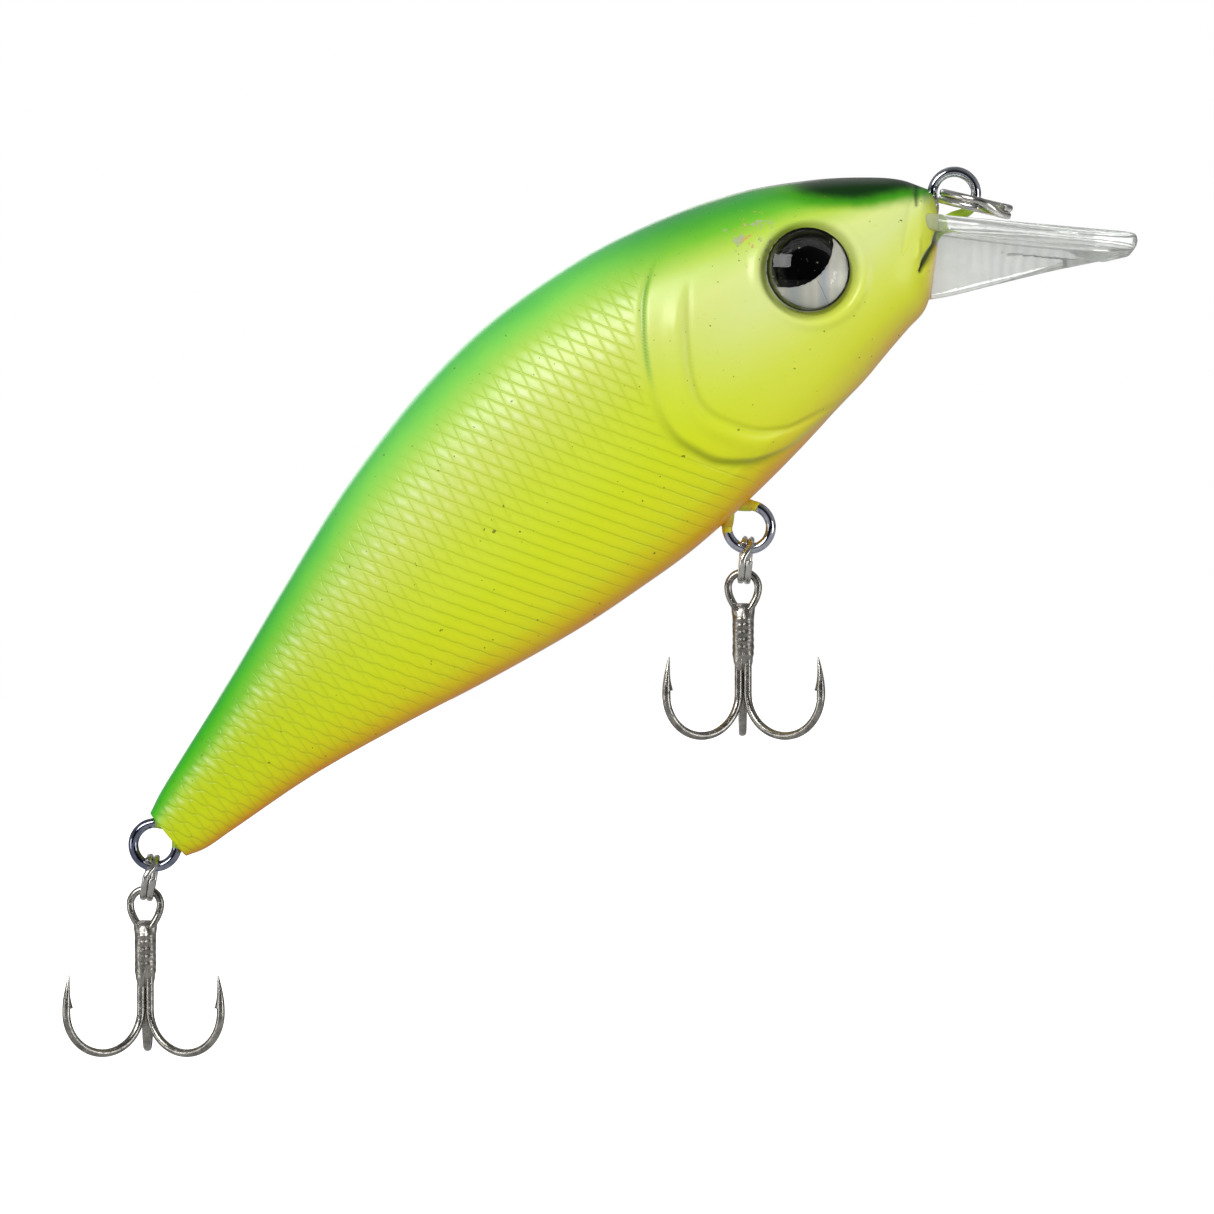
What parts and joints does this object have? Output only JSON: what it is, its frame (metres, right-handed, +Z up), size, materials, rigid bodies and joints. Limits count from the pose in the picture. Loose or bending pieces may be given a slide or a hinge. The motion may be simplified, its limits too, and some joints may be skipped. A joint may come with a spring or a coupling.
{
  "type": "crankbait lure",
  "caption": "Deep-diving crankbait with a clear lip, split rings, swinging treble hooks and rattle balls inside the body.",
  "frame": {"origin": "centre of the line-tie eye at the nose", "axes": "+X forwards towards the lip, +Y towards the fish's left side, +Z up, with the body hanging 40 degrees nose-up"},
  "size_m": [0.1032, 0.0176, 0.0855],
  "materials": {
    "body_right": "sprayed gradient of green, chartreuse and orange under clear coat",
    "body_left": "sprayed gradient of green, chartreuse and orange under clear coat",
    "lip_clear": "clear moulded polycarbonate",
    "eye_wire": "polished stainless wire",
    "split_ring": "bright nickel",
    "hook_steel": "dark nickel plate",
    "braze": "plated braze",
    "eye_foil": "pearl foil",
    "eye_print": "gloss black print",
    "eye_dome": "clear epoxy dome",
    "ballast": "plain turned steel",
    "ball": "polished ball"
  },
  "bodies": {
    "lure": {"shell_right": "body_right", "shell_left": "body_left", "diving_lip": "lip_clear", "line_tie_eye": "eye_wire", "belly_eye": "eye_wire", "tail_eye": "eye_wire", "eye_foil_right": "eye_foil", "eye_pupil_right": "eye_print", "eye_dome_right": "eye_dome", "eye_foil_left": "eye_foil", "eye_pupil_left": "eye_print", "eye_dome_left": "eye_dome", "ballast_front": "ballast", "ballast_rear": "ballast"},
    "line_ring": {"line_ring": "split_ring"},
    "belly_ring": {"belly_ring": "split_ring"},
    "belly_treble": {"belly_double_hook": "hook_steel", "belly_single_hook": "hook_steel", "belly_braze": "braze"},
    "tail_ring": {"tail_ring": "split_ring"},
    "tail_treble": {"tail_double_hook": "hook_steel", "tail_single_hook": "hook_steel", "tail_braze": "braze"},
    "ball_rear": {"rattle_ball_rear": "ball"},
    "ball_mid": {"rattle_ball_mid": "ball"},
    "ball_front": {"rattle_ball_front": "ball"}
  },
  "joints": [
    {"name": "line_ring_swing", "type": "hinge", "parent": "lure", "child": "line_ring", "pos_m": [0, 0, 0], "axis": [0, -1, 0], "range_deg": [0, 155]},
    {"name": "belly_ring_swing", "type": "hinge", "parent": "lure", "child": "belly_ring", "pos_m": [-0.01967, 0, -0.03202], "axis": [0, -1, 0], "range_deg": [-16, 95]},
    {"name": "belly_treble_swing", "type": "hinge", "parent": "belly_ring", "child": "belly_treble", "pos_m": [-0.01997, 0, -0.03518], "axis": [0.9956, 0, -0.0941], "range_deg": [-60, 60]},
    {"name": "tail_ring_swing", "type": "hinge", "parent": "lure", "child": "tail_ring", "pos_m": [-0.07678, 0, -0.0626], "axis": [0, -1, 0], "range_deg": [-98, 66]},
    {"name": "tail_treble_swing", "type": "hinge", "parent": "tail_ring", "child": "tail_treble", "pos_m": [-0.0773, 0, -0.06573], "axis": [0.9863, 0, -0.165], "range_deg": [-60, 60]},
    {"name": "ball_rear_roll", "type": "slide", "parent": "lure", "child": "ball_rear", "axis": [0.766, 0, 0.6428], "range_m": [0, 0.003]},
    {"name": "ball_mid_roll", "type": "slide", "parent": "lure", "child": "ball_mid", "axis": [0.766, 0, 0.6428], "range_m": [0, 0.003]},
    {"name": "ball_front_roll", "type": "slide", "parent": "lure", "child": "ball_front", "axis": [0.766, 0, 0.6428], "range_m": [0, 0.003]}
  ]
}
